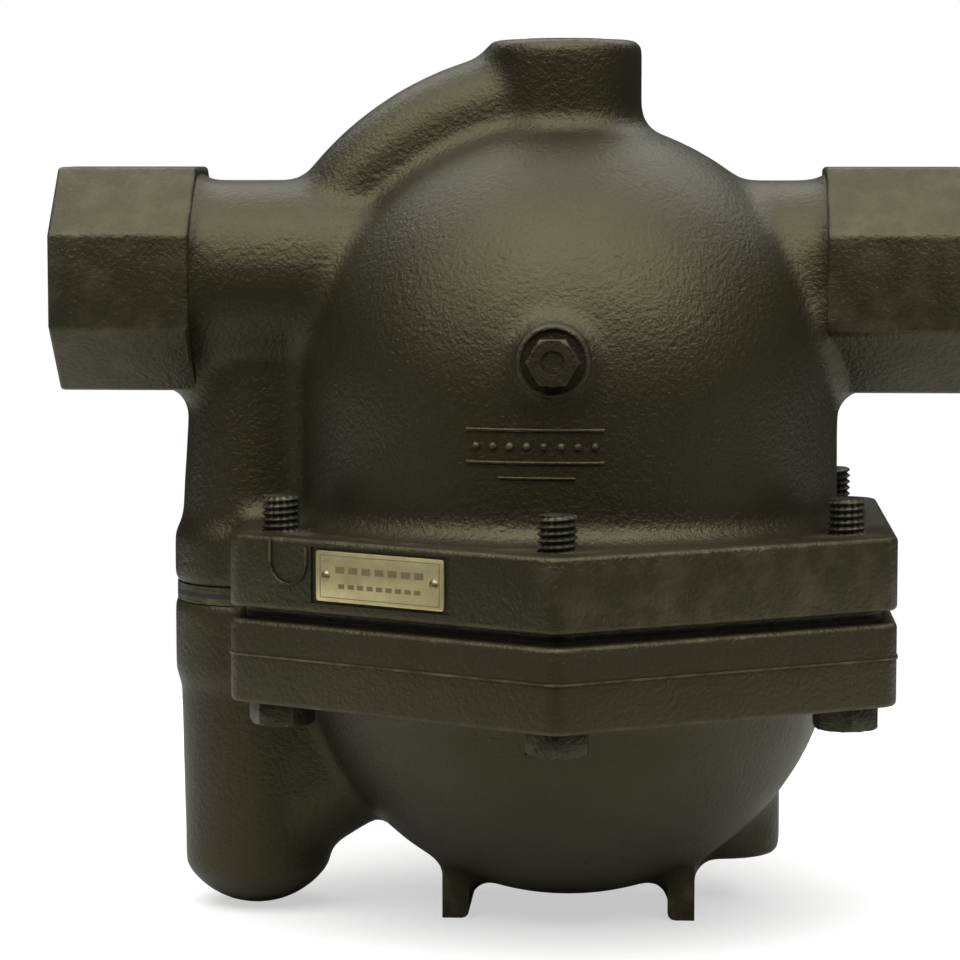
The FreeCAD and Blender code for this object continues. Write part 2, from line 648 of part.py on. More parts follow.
def socket_plug(name, radius, length, flats, depth):
    """A flush plug with a hexagon socket in its upper face, the face at its own Z = 0."""
    return cut(
        name,
        turned(f"{name}_body", [
            ("0", f"-{length}"),
            (f"{radius}-plug_lead", f"-{length}"),
            (radius, f"plug_lead-{length}"),
            (radius, "0"),
            ("0", "0"),
        ]),
        prism(f"{name}_socket", 6, flats, depth, ("0", "0", f"-{depth}")),
    )


node(socket_plug("vent_access_plug", "access_r", "access_length", "access_flats", "access_socket"),
     "vent_access_plug", ("vent_x-inlet_reach", "0", "boss_top"))
node(socket_plug("drain_plug", "drain_plug_r", "drain_plug", "drain_flats", "drain_socket"),
     "drain_plug", ("drain_x-inlet_reach", "drain_y", "drain_z"), ("1;0;0", "180"))

# ---- name_plate and plate_pins: in the pocket on the cover's flange ----

plate_sheet = block(
    "plate_sheet", "plate_length", "plate", "plate_height",
    on_plate_flat("-plate_shift-plate_length/2", "pocket-plate", f"{PLATE_Z}-plate_height/2"),
    PLATE_TURN)
plate_holes = [
    plate_pin(f"plate_hole_{side + 1}", "pin_r", "plate", side, "pocket-plate") for side in SIDES
]
node(cut("name_plate", plate_sheet, *plate_holes), "name_plate")
pins = [
    fuse(
        f"pin_{side + 1}",
        plate_pin(f"pin_shank_{side + 1}", "pin_r", "pin_length", side, "pocket-plate"),
        plate_pin(f"pin_head_{side + 1}", "pin_head_r", "pin_head", side, "pocket-plate-pin_head"),
    )
    for side in SIDES
]
node(fuse("plate_pins", *pins), "plate_pins")

# ---- the main seat, drawn about the bowl's centre with +Z back up the seat's line ----

SEAT_FACE = "seat_gasket+seat_rim-pad_u"
HEAD_Z = f"{SEAT_FACE}+sqrt(head_r*head_r-orifice_r*orifice_r)+head_lift"
SEAT_PLACE = (BOWL_CENTRE, UP_THE_SEAT)

node(turned("main_seat", [
    ("orifice_r", "-pad_u-seat_length"),
    ("seat_r", "-pad_u-seat_length"),
    ("seat_r", "seat_gasket-pad_u"),
    ("seat_rim_r", "seat_gasket-pad_u"),
    ("seat_rim_r", SEAT_FACE),
    ("orifice_r", SEAT_FACE),
]), "main_seat", *SEAT_PLACE)
node(turned("main_seat_gasket", [
    ("seat_r+screw_gap", "-pad_u"),
    ("seat_rim_r", "-pad_u"),
    ("seat_rim_r", "seat_gasket-pad_u"),
    ("seat_r+screw_gap", "seat_gasket-pad_u"),
]), "main_seat_gasket", *SEAT_PLACE)

# ---- valve_head: a half ball on a stem, below the lever ----

LEVER_UNDER = "-pivot_u-lever/2"
LEVER_OVER = "-pivot_u+lever/2"
head_ball = ball("head_ball", "head_r", ("0", "0", HEAD_Z))
head_cut = cylinder("head_cut", "2*head_r", "2*head_r", ("0", "0", HEAD_Z))
node(fuse(
    "valve_head",
    cut("half_ball", head_ball, head_cut),
    cylinder("head_shoulder", "neck_head_r", f"({LEVER_UNDER})-({HEAD_Z})", ("0", "0", HEAD_Z)),
    cylinder("head_stem", "stem_r", "lever+nut+stem_tail", ("0", "0", LEVER_UNDER)),
), "valve_head", *SEAT_PLACE)


def hex_nut(name, at, turn=UPRIGHT):
    return cut(
        name,
        prism(f"{name}_hex", 6, "nut_flats", "nut", at, turn),
        cylinder(f"{name}_bore", "stem_r+screw_gap", "nut", at, turn),
    )


node(hex_nut("valve_nut", ("0", "0", LEVER_OVER)), "valve_nut", *SEAT_PLACE)

# ---- mechanism_bracket: a folded plate on the pad, with a cheek each side of the lever ----

PLATE_LOW = "-pad_u"
CHEEK_HEIGHT = "pad_u-pivot_u+cheek_top"
CHEEK_LENGTH = "cheek_back+cheek_front"
CHEEK_Y = "hub_length/2+cheek_gap"
PIVOT_TURN = TO_BACK
bracket_metal = [
    block("bracket_foot", "bracket_half*2", "bracket_reach*2", "cheek",
          ("-bracket_half", "-bracket_reach", PLATE_LOW)),
    block("bracket_tongue", "pivot_side+cheek_back", f"({CHEEK_Y}+cheek)*2", "cheek",
          ("-pivot_side-cheek_back", f"-({CHEEK_Y}+cheek)", PLATE_LOW)),
]
for side, near in ((-1, f"-({CHEEK_Y}+cheek)"), (1, CHEEK_Y)):
    bracket_metal.append(
        block(f"cheek_{side + 1}", CHEEK_LENGTH, "cheek", CHEEK_HEIGHT,
              ("-pivot_side-cheek_back", near, PLATE_LOW)))
bracket_holes = [
    cylinder("bracket_eye", "seat_rim_r+bracket_gap", "cheek", ("0", "0", PLATE_LOW)),
    cylinder("cheek_bore", "pin_radius+screw_gap", f"({CHEEK_Y}+cheek)*2",
             ("-pivot_side", f"-({CHEEK_Y}+cheek)", "-pivot_u"), PIVOT_TURN),
    *[
        cylinder(f"foot_hole_{side + 1}", "bracket_screw_r+screw_gap", "cheek",
                 ("0", f"({side})*bracket_screw_y", PLATE_LOW))
        for side in SIDES
    ],
]
node(cut("mechanism_bracket", fuse("bracket_plate", *bracket_metal), *bracket_holes),
     "mechanism_bracket", *SEAT_PLACE)
bracket_screws = []
for side in SIDES:
    across = f"({side})*bracket_screw_y"
    bracket_screws.append(
        fuse(
            f"bracket_screw_{side + 1}",
            cylinder(f"bracket_shank_{side + 1}", "bracket_screw_r", "bracket_screw+cheek",
                     ("0", across, "-pad_u-bracket_screw")),
            prism(f"bracket_hex_{side + 1}", 6, "nut_flats", "nut", ("0", across, "cheek-pad_u"),
                  ("0;0;1", "30")),
        )
    )
node(fuse("bracket_screws", *bracket_screws), "bracket_screws", *SEAT_PLACE)

# ---- pivot_pin and its two snap rings, drawn about the pivot ----

node(cylinder("pivot_pin", "pin_radius", "pivot_length"), "pivot_pin",
     (PIVOT[0], "-pivot_length/2", PIVOT[2]), PIVOT_TURN)
clips = []
for side, near in ((-1, f"-({CHEEK_Y}+cheek+clip_gap+clip)"), (1, f"{CHEEK_Y}+cheek+clip_gap")):
    clips.append(
        cut(
            f"clip_{side + 1}",
            cylinder(f"clip_disc_{side + 1}", "clip_r", "clip", ("0", near, "0"), PIVOT_TURN),
            cylinder(f"clip_eye_{side + 1}", "pin_radius+screw_gap", "clip", ("0", near, "0"),
                     PIVOT_TURN),
        )
    )
node(fuse("pivot_clips", *clips), "pivot_clips", PIVOT)

# ---- float_lever: a hub with one arm to the valve and one level arm to the float's tab ----

# About the pivot the valve's arm leans by the same angle as the seat's line.
SEAT_LEAN = ("0;1;0", "90-seat_tilt")
HALF_WIDTH = "lever_width/2"
lever_metal = fuse(
    "lever_metal",
    cylinder("lever_hub", "hub_r", "hub_length", ("0", "-hub_length/2", "0"), PIVOT_TURN),
    block("float_arm", "arm_length+lever", "lever_width", "lever", ("0", f"-{HALF_WIDTH}", "-lever/2")),
    block("float_tab", "lever", "lever_width", "tab_height",
          ("arm_length", f"-{HALF_WIDTH}", "-lever/2")),
    block("valve_arm", "pivot_side+lever_end", "lever_width", "lever",
          ("-lever/2*cos(seat_tilt)", f"-{HALF_WIDTH}", "-lever/2*sin(seat_tilt)"), SEAT_LEAN),
)
node(cut(
    "float_lever", lever_metal,
    cylinder("hub_bore", "pin_radius+pivot_play", "hub_length", ("0", "-hub_length/2", "0"), PIVOT_TURN),
    cylinder("tab_hole", "stud_r+screw_gap", "lever", ("arm_length", "0", "tab_rise"), TO_RIGHT),
    cylinder("stem_hole", "stem_r+screw_gap", "lever",
             ("pivot_side*sin(seat_tilt)-lever/2*cos(seat_tilt)", "0",
              "-pivot_side*cos(seat_tilt)-lever/2*sin(seat_tilt)"), UP_THE_SEAT),
), "float_lever", PIVOT)

# ---- float_ball, float_stud and float_nut, drawn about the pivot ----

TAB_FACE = "arm_length+lever"
FLOAT_X = f"{TAB_FACE}+float_gap+float_r"
float_at = (FLOAT_X, "0", "tab_rise")
stud_root = (TAB_FACE, "0", "tab_rise")
float_skin = cut("float_skin", ball("float_outside", "float_r", float_at),
                 ball("float_inside", "float_r-float_skin", float_at))
node(cut("float_ball", float_skin,
         cylinder("float_eye", "collar_r", "float_r", stud_root, TO_RIGHT)),
     "float_ball", PIVOT)
node(fuse(
    "float_stud",
    cylinder("stud_collar", "collar_r", "float_gap+collar_depth", stud_root, TO_RIGHT),
    cylinder("stud_thread", "stud_r", "lever+nut+stud_tail", stud_root, TO_LEFT),
), "float_stud", PIVOT)
node(hex_nut("float_nut", ("arm_length", "0", "tab_rise"), TO_LEFT), "float_nut", PIVOT)

# ---- the thermostatic vent, drawn about the top boss's axis ----

VENT_PLACE = (("vent_x-inlet_reach", "0", "0"), UPRIGHT)
CAGE_TOP = "vent_pad_z-vent_gasket"
RIM_TOP = f"{CAGE_TOP}-cage_wall"
VENT_FACE = f"{RIM_TOP}-vent_rim"
CAGE_FOOT = f"{CAGE_TOP}-cage_height"
RING_Z = f"{CAGE_FOOT}+ring_lift"
CAPSULE_Z = f"{RING_Z}+ring+capsule_rim/2+(capsule-capsule_rim)/2"
VALVE_TOP = f"{VENT_FACE}-vent_travel-vent_shut_gap"
HUB_TOP = f"{VALVE_TOP}-vent_head"

node(turned("vent_seat_gasket", [
    ("vent_thread_r+screw_gap", CAGE_TOP),
    ("vent_pad_r", CAGE_TOP),
    ("vent_pad_r", "vent_pad_z"),
    ("vent_thread_r+screw_gap", "vent_pad_z"),
]), "vent_seat_gasket", *VENT_PLACE)
vent_seat_metal = fuse(
    "vent_seat_metal",
    cylinder("vent_seat_thread", "vent_thread_r", f"vent_well_z-({RIM_TOP})", ("0", "0", RIM_TOP)),
    prism("vent_seat_hex", 6, "vent_rim_flats", "vent_rim", ("0", "0", VENT_FACE)),
)
node(cut("vent_seat", vent_seat_metal,
         cylinder("vent_orifice", "vent_orifice_r", f"vent_well_z-({VENT_FACE})", ("0", "0", VENT_FACE))),
     "vent_seat", *VENT_PLACE)

cage_shell = turned("cage_shell", [
    ("vent_thread_r+screw_gap", CAGE_TOP),
    ("vent_thread_r+screw_gap", RIM_TOP),
    ("cage_r-cage_wall", RIM_TOP),
    ("cage_r-cage_wall", CAGE_FOOT),
    ("cage_r", CAGE_FOOT),
    ("cage_r", CAGE_TOP),
])
WINDOW_FOOT = f"{CAGE_FOOT}+cage_rim"
node(cut(
    "vent_cage", cage_shell,
    block("cage_windows_along", "cage_r*2", "cage_window_width", "cage_window",
          ("-cage_r", "-cage_window_width/2", WINDOW_FOOT)),
    block("cage_windows_across", "cage_window_width", "cage_r*2", "cage_window",
          ("-cage_window_width/2", "-cage_r", WINDOW_FOOT)),
), "vent_cage", *VENT_PLACE)

node(turned("cage_ring", [
    ("cage_r-cage_wall-ring_width", RING_Z),
    ("cage_r-cage_wall", RING_Z),
    ("cage_r-cage_wall", f"{RING_Z}+ring"),
    ("cage_r-cage_wall-ring_width", f"{RING_Z}+ring"),
]), "cage_ring", *VENT_PLACE)

CAPSULE_R = "cage_r-cage_wall-capsule_gap"
RIM_Z = f"{RING_Z}+ring"
node(turned("vent_capsule", [
    ("0", RIM_Z),
    (CAPSULE_R, RIM_Z),
    (CAPSULE_R, f"{RIM_Z}+capsule_rim"),
    ("capsule_hub_r", f"{RIM_Z}+capsule"),
    ("capsule_hub_r", HUB_TOP),
    ("vent_stem_r+screw_gap", HUB_TOP),
    ("vent_stem_r+screw_gap", f"{HUB_TOP}-vent_stem-drill_over"),
    ("0", f"{HUB_TOP}-vent_stem-drill_over"),
]), "vent_capsule", *VENT_PLACE)
node(turned("vent_valve", [
    ("0", f"{HUB_TOP}-vent_stem"),
    ("vent_stem_r", f"{HUB_TOP}-vent_stem"),
    ("vent_stem_r", HUB_TOP),
    ("vent_head_r", HUB_TOP),
    ("vent_head_r", VALVE_TOP),
    ("0", VALVE_TOP),
]), "vent_valve", *VENT_PLACE)

# ---- check every object, then write one STEP file for each node ----

doc.recompute()
for item in doc.Objects:
    if "Invalid" in item.State or "Error" in item.State:
        raise RuntimeError(f"{item.Name} did not build: {item.State}")
for piece in nodes:
    if piece.Shape.isNull() or not piece.Shape.isValid():
        raise RuntimeError(f"{piece.Label} has no valid shape")

os.makedirs("parts", exist_ok=True)
for piece in nodes:
    piece.Shape.exportStep(os.path.join("parts", f"{piece.Label}.step"))
print(f"{len(nodes)} nodes written")
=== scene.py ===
import math

import bpy
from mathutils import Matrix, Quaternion, Vector


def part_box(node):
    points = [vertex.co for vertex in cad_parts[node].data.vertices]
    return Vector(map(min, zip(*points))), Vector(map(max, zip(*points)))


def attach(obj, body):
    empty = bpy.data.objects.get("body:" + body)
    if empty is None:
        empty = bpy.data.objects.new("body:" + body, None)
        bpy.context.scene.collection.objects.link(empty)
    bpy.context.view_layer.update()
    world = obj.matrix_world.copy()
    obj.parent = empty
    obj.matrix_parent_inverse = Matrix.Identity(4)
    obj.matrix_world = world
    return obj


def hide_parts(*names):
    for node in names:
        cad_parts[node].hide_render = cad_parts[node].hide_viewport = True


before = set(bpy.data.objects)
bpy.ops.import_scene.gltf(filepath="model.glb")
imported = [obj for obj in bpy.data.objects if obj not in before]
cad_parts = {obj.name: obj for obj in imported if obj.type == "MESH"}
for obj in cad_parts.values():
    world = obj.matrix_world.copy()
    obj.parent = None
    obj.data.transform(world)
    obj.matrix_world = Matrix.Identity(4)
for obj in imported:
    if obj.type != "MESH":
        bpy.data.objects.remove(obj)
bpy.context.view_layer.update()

MM = 0.001
CHAMBER_X = -131 * MM


def at(x, y, z):
    """A point given in millimetres from the chamber's axis and the pipe's centre line."""
    return Vector((CHAMBER_X + x * MM, y * MM, z * MM))


# ---- Camera, light and floor ----
# A long lens a little above the pipe and a little to the inlet's side. One wide softbox leans
# over the camera and a weaker one hangs behind the trap, in a room that looks white and adds
# little light. The floor is plain white paint with a faint glow of its own.

FLOOR_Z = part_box("lower_bowl")[0][2]
CAMERA_DISTANCE = 1.139
CAMERA_AROUND = math.radians(1.75)
CAMERA_HEIGHT = 0.045
CAMERA_DOWN = math.radians(5.66)
CAMERA_YAW = math.radians(3.24)

camera_data = bpy.data.cameras.new("camera")
camera_data.lens = 127.5
camera_data.clip_end = 50
camera = bpy.data.objects.new("camera", camera_data)
bpy.context.collection.objects.link(camera)
camera.location = (
    CHAMBER_X + CAMERA_DISTANCE * math.sin(CAMERA_AROUND),
    -CAMERA_DISTANCE * math.cos(CAMERA_AROUND),
    CAMERA_HEIGHT,
)
camera.rotation_euler = (math.radians(90) - CAMERA_DOWN, 0, CAMERA_YAW)
bpy.context.scene.camera = camera


def softbox(name, place, aim, size, power):
    """A rectangular lamp at a place, facing another."""
    lamp = bpy.data.lights.new(name, "AREA")
    lamp.shape = "RECTANGLE"
    lamp.size, lamp.size_y = size
    lamp.energy = power
    holder = bpy.data.objects.new(name, lamp)
    holder.location = place
    holder.rotation_euler = (Vector(aim) - Vector(place)).to_track_quat("-Z", "Y").to_euler()
    bpy.context.collection.objects.link(holder)


TRAP_MIDDLE = at(0, 0, -60)
softbox("over_camera", (CHAMBER_X, -0.75, 1.35), TRAP_MIDDLE, size=(3.4, 1.5), power=62)
softbox("over_back", (CHAMBER_X, 0.75, 1.1), TRAP_MIDDLE, size=(2.2, 0.9), power=15)


def seen_more(nodes, links, unseen, seen):
    """A brightness that is higher for what the camera looks at than for what it lights."""
    looks = nodes.new("ShaderNodeLightPath").outputs["Is Camera Ray"]
    brightness = nodes.new("ShaderNodeMapRange")
    brightness.inputs["To Min"].default_value = unseen
    brightness.inputs["To Max"].default_value = seen
    links.new(looks, brightness.inputs["Value"])
    return brightness.outputs["Result"]


ROOM_LIGHT = 0.05
ROOM_LOOK = 1
FLOOR_GLOW = 0.55
world = bpy.data.worlds.new("studio")
world.use_nodes = True
backing = world.node_tree.nodes["Background"]
backing.inputs["Color"].default_value = (1, 1, 1, 1)
brightness = seen_more(world.node_tree.nodes, world.node_tree.links, ROOM_LIGHT, ROOM_LOOK)
world.node_tree.links.new(brightness, backing.inputs["Strength"])
bpy.context.scene.world = world
bpy.context.scene.view_settings.view_transform = "Standard"


def deselect():
    """Leaves edit mode, with nothing selected."""
    if bpy.context.object and bpy.context.object.mode == "EDIT":
        bpy.ops.object.mode_set(mode="OBJECT")
    bpy.ops.object.select_all(action="DESELECT")


def shader(name):
    """A new material, its node tree and its Principled BSDF."""
    material = bpy.data.materials.new(name)
    material.use_nodes = True
    return material, material.node_tree, material.node_tree.nodes["Principled BSDF"]


studio_paint, tree, bsdf = shader("studio_paint")
bsdf.inputs["Base Color"].default_value = (0.6, 0.6, 0.59, 1)
bsdf.inputs["Roughness"].default_value = 0.8
bsdf.inputs["Emission Color"].default_value = (1, 1, 1, 1)
tree.links.new(seen_more(tree.nodes, tree.links, 0, FLOOR_GLOW), bsdf.inputs["Emission Strength"])

FLOOR_WIDTH = 2.4
FLOOR_DEPTH = 0.7
FLOOR_FRONT = -0.28
deselect()
floor_middle = (CHAMBER_X, FLOOR_FRONT + FLOOR_DEPTH / 2, FLOOR_Z)
bpy.ops.mesh.primitive_plane_add(size=1, location=floor_middle)
floor = bpy.context.object
floor.name = "floor"
floor.scale = (FLOOR_WIDTH, FLOOR_DEPTH, 1)
bpy.ops.object.transform_apply(location=False, rotation=False, scale=True)
floor.data.materials.append(studio_paint)

# ---- The cover casting ----
# Sand-cast iron: a dome with two octagonal ports in line, the side leg, the vent rib and the
# bolted flange. The pattern's inner corners are filled to a radius, then the joint face, the
# bores and the plate's pocket are cut as they are machined.

CELL = 1.7 * MM
UP = (0, 0, 1)
DOWN = (0, 0, -1)
RIGHT = (1, 0, 0)
LEFT = (-1, 0, 0)
FRONT = (0, -1, 0)
BACK = (0, 1, 0)
FINE = 1e-6

FLANGE_R = 123.9
FLANGE_TOP = -79.4
FLANGE_BASE = -103.1
CORNER_ROUND = 7
GASKET_TOP = -104.3
LEG_X = -105.5
BOLT_CIRCLE = 105
VENT_X = -1.5


def select(piece):
    deselect()
    piece.select_set(True)
    bpy.context.view_layer.objects.active = piece


def apply(piece, kind, **settings):
    select(piece)
    modifier = piece.modifiers.new(kind.lower(), kind)
    for setting, value in settings.items():
        setattr(modifier, setting, value)
    bpy.ops.object.modifier_apply(modifier=modifier.name)


def rod(radius, start, length, along=UP, end_radius=None, sides=96, twist=0.0):
    """A closed bar in millimetres, round or with flat sides, from its start along a direction."""
    deselect()
    turn = Vector(along).to_track_quat("Z", "Y") @ Quaternion(UP, math.radians(twist))
    bpy.ops.mesh.primitive_cone_add(
        vertices=sides, radius1=radius * MM, depth=length * MM,
        radius2=(radius if end_radius is None else end_radius) * MM,
        location=start + Vector(along) * length * MM / 2, rotation=turn.to_euler())
    bpy.ops.object.transform_apply(location=True, rotation=True, scale=True)
    return bpy.context.object


def ball(radius, centre, segments=128):
    deselect()
    bpy.ops.mesh.primitive_uv_sphere_add(
        segments=segments, ring_count=segments // 2, radius=radius * MM, location=centre)
    bpy.ops.object.transform_apply(location=True, rotation=True, scale=True)
    return bpy.context.object


def block(low, high):
    """A closed box between two corners."""
    deselect()
    bpy.ops.mesh.primitive_cube_add(size=1, location=(low + high) / 2, scale=high - low)
    bpy.ops.object.transform_apply(location=True, rotation=True, scale=True)
    return bpy.context.object


def bevel(piece, width, segments, chosen):
    """Rounds the edges whose two ends, in metres, pass the test."""
    select(piece)
    bpy.ops.object.mode_set(mode="EDIT")
    bpy.ops.mesh.select_mode(type="EDGE")
    bpy.ops.mesh.select_all(action="DESELECT")
    bpy.ops.object.mode_set(mode="OBJECT")
    places = [vertex.co for vertex in piece.data.vertices]
    for edge in piece.data.edges:
        edge.select = chosen(places[edge.vertices[0]], places[edge.vertices[1]])
    bpy.ops.object.mode_set(mode="EDIT")
    bpy.ops.mesh.bevel(offset=width * MM, segments=segments, affect="EDGES")
    bpy.ops.object.mode_set(mode="OBJECT")


def upright(a, b):
    return abs(a.x - b.x) < FINE and abs(a.y - b.y) < FINE


def level(a, b):
    return abs(a.z - b.z) < FINE


def every(a, b):
    return True


def hexagon(radius, base, thickness, rim):
    """A flange plate with a corner to the front, its corners and its rims rounded."""
    whole = rod(radius, at(0, 0, base), thickness, sides=6)
    bevel(whole, CORNER_ROUND * math.tan(math.radians(30)), 6, upright)
    if rim:
        bevel(whole, rim, 3, level)
    return whole


def arc_bar(radius, start, centre, axis, degrees, steps):
    """A round bar bent about a centre. Its start is a disc square to its path."""
    deselect()
    outward = start - centre
    forward = Vector(axis).cross(outward)
    turn = forward.to_track_quat("Z", "Y")
    bpy.ops.mesh.primitive_circle_add(
        vertices=48, radius=radius * MM, fill_type="NGON", location=start, rotation=turn.to_euler())
    bpy.ops.object.transform_apply(location=True, rotation=True, scale=True)
    bpy.ops.object.mode_set(mode="EDIT")
    bpy.ops.mesh.select_all(action="SELECT")
    bpy.ops.mesh.spin(steps=steps, angle=-math.radians(degrees), center=centre, axis=axis)
    bpy.ops.mesh.select_all(action="SELECT")
    bpy.ops.mesh.normals_make_consistent(inside=False)
    bpy.ops.object.mode_set(mode="OBJECT")
    return bpy.context.object


def joined(name, pieces):
    """The pieces as one object, with a name."""
    deselect()
    for piece in pieces:
        piece.select_set(True)
    bpy.context.view_layer.objects.active = pieces[0]
    bpy.ops.object.join()
    whole = bpy.context.object
    whole.name = name
    whole.data.name = name
    return whole


def skin(piece, smoothing):
    """One even mesh over everything, smoothed."""
    apply(piece, "REMESH", mode="VOXEL", voxel_size=CELL)
    apply(piece, "SMOOTH", factor=0.5, iterations=smoothing)


sand_waves = bpy.data.textures.new("sand_waves", "CLOUDS")
sand_waves.noise_scale = 14 * MM


def cast(name, pieces, fillet):
    """One skin over overlapping bars, with its inner corners filled to a radius."""
    piece = joined(name, pieces)
    skin(piece, 3)
    apply(piece, "DISPLACE", strength=fillet, mid_level=0, direction="NORMAL")
    skin(piece, 3)
    apply(piece, "DISPLACE", strength=-fillet, mid_level=0, direction="NORMAL")
    skin(piece, 5)
    apply(piece, "DISPLACE", strength=0.15 * MM, mid_level=0.7, texture=sand_waves,
          texture_coords="LOCAL")
    return piece


def combine(piece, operation, tools):
    """A boolean with each tool in turn, which is then removed."""
    for tool in tools:
        apply(piece, "BOOLEAN", operation=operation, solver="MANIFOLD", object=tool)
        bpy.data.objects.remove(tool)


def bolt_places(height):
    """The six screws' places at a height, from the one behind on the inlet's side."""
    for index in range(6):
        angle = math.radians(60 * index + 30)
        yield at(BOLT_CIRCLE * math.cos(angle), BOLT_CIRCLE * math.sin(angle), height)


DOME_R = 90
DOME_Z = -36.6
WALL = 8
LEG_R = 26.2
LEG_TOP_R = 20
LEG_BORE_R = 16
LOBE_R = 27.5
LOBE_HEIGHT = 19.7
CAST_RIM = 1.8
CRISP_RIM = 1.6
FACE_MARGIN = 6
FACE_HEIGHT = 2.2
LOBE_FACE_R = 26.7
NECK_R = 32.8
WAY_R = 18.5
PORT_BORE_R = 22
PORT_BORE = 25
PORT_R = 37.1 / math.cos(math.radians(22.5))
PORT_LENGTH = 46.2
INLET = 131
OUTLET = 169.2
BOSS_R = 25.8
BOSS_TOP = 79.4
RIB_R = 20
RIB_Z = -32.4
RIB_ARC = 89.5
RIB_SWEEP = 76
RIB_WAY_R = 7
RIB_WAY_ARC = 95.5
WEB_HALF = 22
SHY = 0.5
TEST_X = -1.9
TEST_Y = -91.8
TEST_Z = -22.2
TEST_BOSS_R = 11.5
COVER_FILLET = 5 * MM

dome = [
    ball(DOME_R, at(0, 0, DOME_Z)),
    rod(DOME_R, at(0, 0, FLANGE_BASE), DOME_Z - FLANGE_BASE, sides=128),
]
combine(dome[0], "DIFFERENCE", [rod(2 * DOME_R, at(0, 0, DOME_Z - 2), DOME_R, along=DOWN)])
neck_start = at(-OUTLET + PORT_LENGTH / 2, 0, 0)
necks = rod(NECK_R, neck_start, INLET + OUTLET - PORT_LENGTH, along=RIGHT)


def ports(shy, rounding):
    """Both octagonal ports, each drawn in by an amount, with rounded edges."""
    made = []
    for start in (-OUTLET, INLET - PORT_LENGTH):
        made.append(rod(PORT_R - shy, at(start + shy, 0, 0), PORT_LENGTH - 2 * shy,
                        along=RIGHT, sides=8, twist=22.5))
    for port in made:
        bevel(port, rounding, 3, every)
    return made


def test_face(a, b):
    return abs(a.y - TEST_Y * MM) < FINE and abs(b.y - TEST_Y * MM) < FINE


cast_ports = ports(SHY, 2.5)
boss = rod(BOSS_R, at(VENT_X, 0, 0), BOSS_TOP - 0.3)
bevel(boss, 2.5, 3, lambda a, b: level(a, b) and a.z > (BOSS_TOP - 1) * MM)
lobe = rod(LOBE_R, at(LEG_X, 0, FLANGE_BASE), LOBE_HEIGHT)
bevel(lobe, CAST_RIM, 2, level)
cover = cast("cover_casting", [
    *dome, necks, *cast_ports, boss, lobe,
    hexagon(FLANGE_R - 2 * SHY, FLANGE_BASE + SHY, FLANGE_TOP - FLANGE_BASE - 2 * SHY, CAST_RIM),
    rod(LEG_R, at(LEG_X, 0, FLANGE_BASE), -FLANGE_BASE, end_radius=LEG_TOP_R),
    block(at(LEG_X, -WEB_HALF, FLANGE_BASE), at(-DOME_R / 2, WEB_HALF, 0)),
    rod(TEST_BOSS_R, at(TEST_X, TEST_Y, TEST_Z), 40, along=BACK),
    arc_bar(RIB_R, at(VENT_X, 0, RIB_Z + RIB_ARC), at(VENT_X, 0, RIB_Z), FRONT, RIB_SWEEP, 40),
], COVER_FILLET)
test_boss = rod(13.5, at(TEST_X, TEST_Y + 10, TEST_Z), 10, along=FRONT, end_radius=TEST_BOSS_R)
bevel(test_boss, 0.9, 2, test_face)
combine(cover, "UNION", [
    *ports(0, 1.4), test_boss,
    hexagon(FLANGE_R - SHY, FLANGE_BASE, FLANGE_TOP - FLANGE_BASE, CRISP_RIM),
    hexagon(FLANGE_R - FACE_MARGIN, GASKET_TOP, FACE_HEIGHT, 0),
    rod(LOBE_FACE_R, at(LEG_X, 0, GASKET_TOP), FACE_HEIGHT),
])
combine(cover, "DIFFERENCE", [
    ball(DOME_R - WALL, at(0, 0, DOME_Z)),
    rod(DOME_R - WALL, at(0, 0, GASKET_TOP - 1), DOME_Z - GASKET_TOP + 1, sides=128),
])
vent_pad = rod(14, at(VENT_X, 0, 38), 12)
combine(cover, "UNION", [vent_pad])
ways = [
    rod(WAY_R, at(DOME_R / 2, 0, 0), 90, along=RIGHT),
    rod(PORT_BORE_R, at(INLET - PORT_BORE, 0, 0), PORT_BORE + 1, along=RIGHT),
    rod(WAY_R, at(LEG_X + LEG_BORE_R, 0, 0), 90, along=LEFT),
    rod(PORT_BORE_R, at(-OUTLET + PORT_BORE, 0, 0), PORT_BORE + 1, along=LEFT),
    rod(LEG_BORE_R, at(LEG_X, 0, GASKET_TOP - 1), 1 - GASKET_TOP),
]
vent_bores = [
    rod(11, at(VENT_X, 0, 48), 32),
    rod(13.25, at(VENT_X, 0, BOSS_TOP - 9), 10),
    rod(8.05, at(VENT_X, 0, 37), 12),
]
test_bores = [
    rod(6.05, at(TEST_X, TEST_Y - 1, TEST_Z), 30, along=BACK),
    rod(10.2, at(TEST_X, TEST_Y - 1, TEST_Z), 2.2, along=BACK),
]
rib_centre = at(VENT_X, 0, RIB_Z)
rib_way = arc_bar(RIB_WAY_R, at(VENT_X, 0, RIB_Z + RIB_WAY_ARC), rib_centre, FRONT, RIB_SWEEP, 40)
screw_holes = [rod(6.35, place, 40, sides=48) for place in bolt_places(GASKET_TOP - 1)]
combine(cover, "DIFFERENCE", [*ways, *vent_bores, *test_bores, rib_way, *screw_holes])

FLAT_TURN = math.radians(-30)
PLATE_ALONG = Vector((math.cos(FLAT_TURN), math.sin(FLAT_TURN), 0))
PLATE_IN = Vector((-math.sin(FLAT_TURN), math.cos(FLAT_TURN), 0))
FLAT_DISTANCE = FLANGE_R * math.cos(FLAT_TURN)
PLATE_SHIFT = -3
PIN_SHIFT = 20.5
PLATE_Z = (FLANGE_TOP + FLANGE_BASE) / 2 + 0.6


def on_flat(along, depth, height):
    """A point on the plate's flat of the flange: along it, in from its surface, and its height."""
    return at(0, 0, height) + (PLATE_ALONG * along - PLATE_IN * (FLAT_DISTANCE - depth)) * MM


